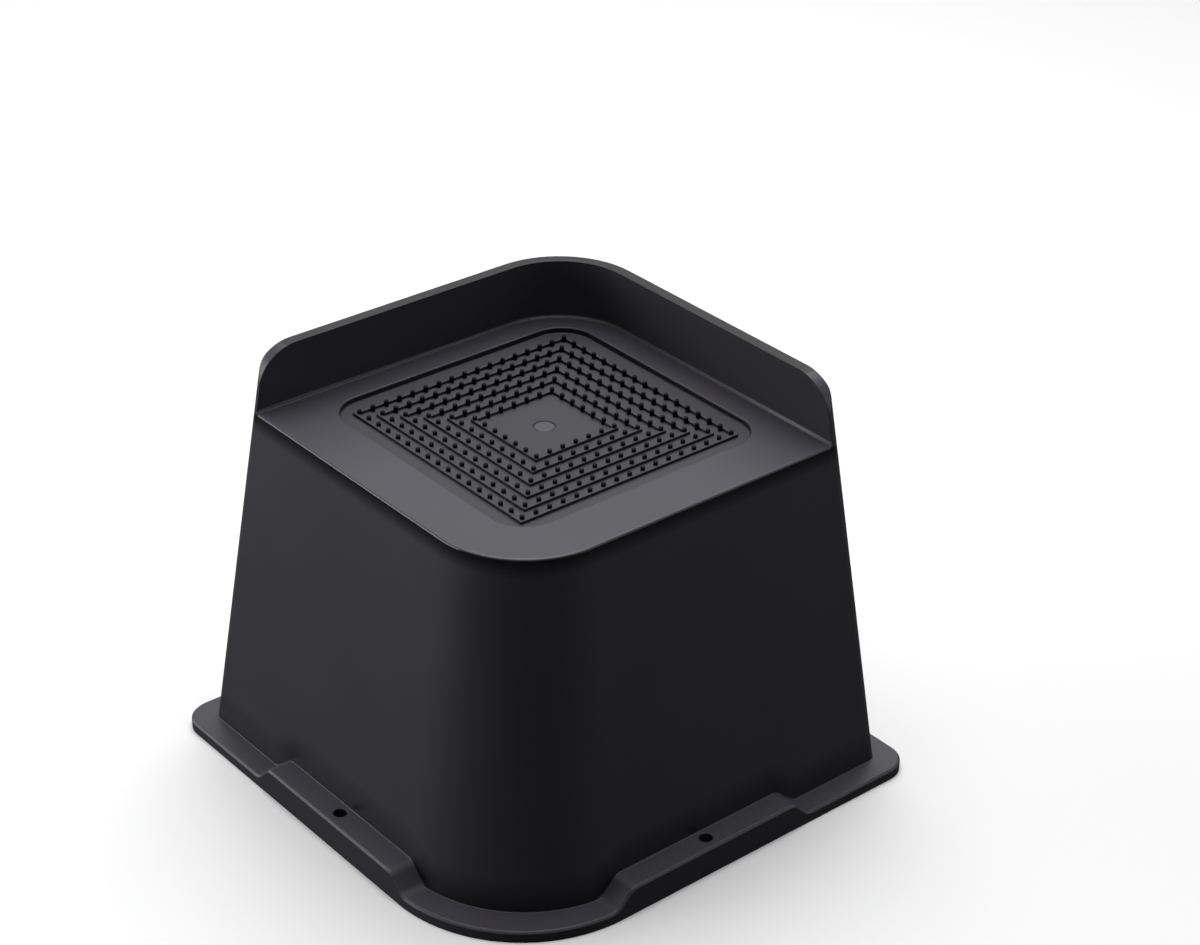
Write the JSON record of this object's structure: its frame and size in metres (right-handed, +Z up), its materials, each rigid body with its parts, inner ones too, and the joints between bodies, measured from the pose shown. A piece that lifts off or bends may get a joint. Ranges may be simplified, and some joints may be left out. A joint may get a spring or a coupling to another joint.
{
  "type": "bed riser",
  "caption": "Square bed riser with leaning sides, a sunk grip panel, an L-shaped guard wall round the platform and a foot flange with screw holes.",
  "frame": {"origin": "on the floor, under the middle of the foot", "axes": "+Z up; the guard walls stand on the +X and +Y sides, the platform is open towards -X and -Y"},
  "size_m": [0.181, 0.181, 0.1497],
  "materials": {
    "body_plastic": "black moulded plastic, satin and slightly soft in its reflections"
  },
  "bodies": {
    "root": {"riser": "body_plastic"}
  },
  "joints": []
}
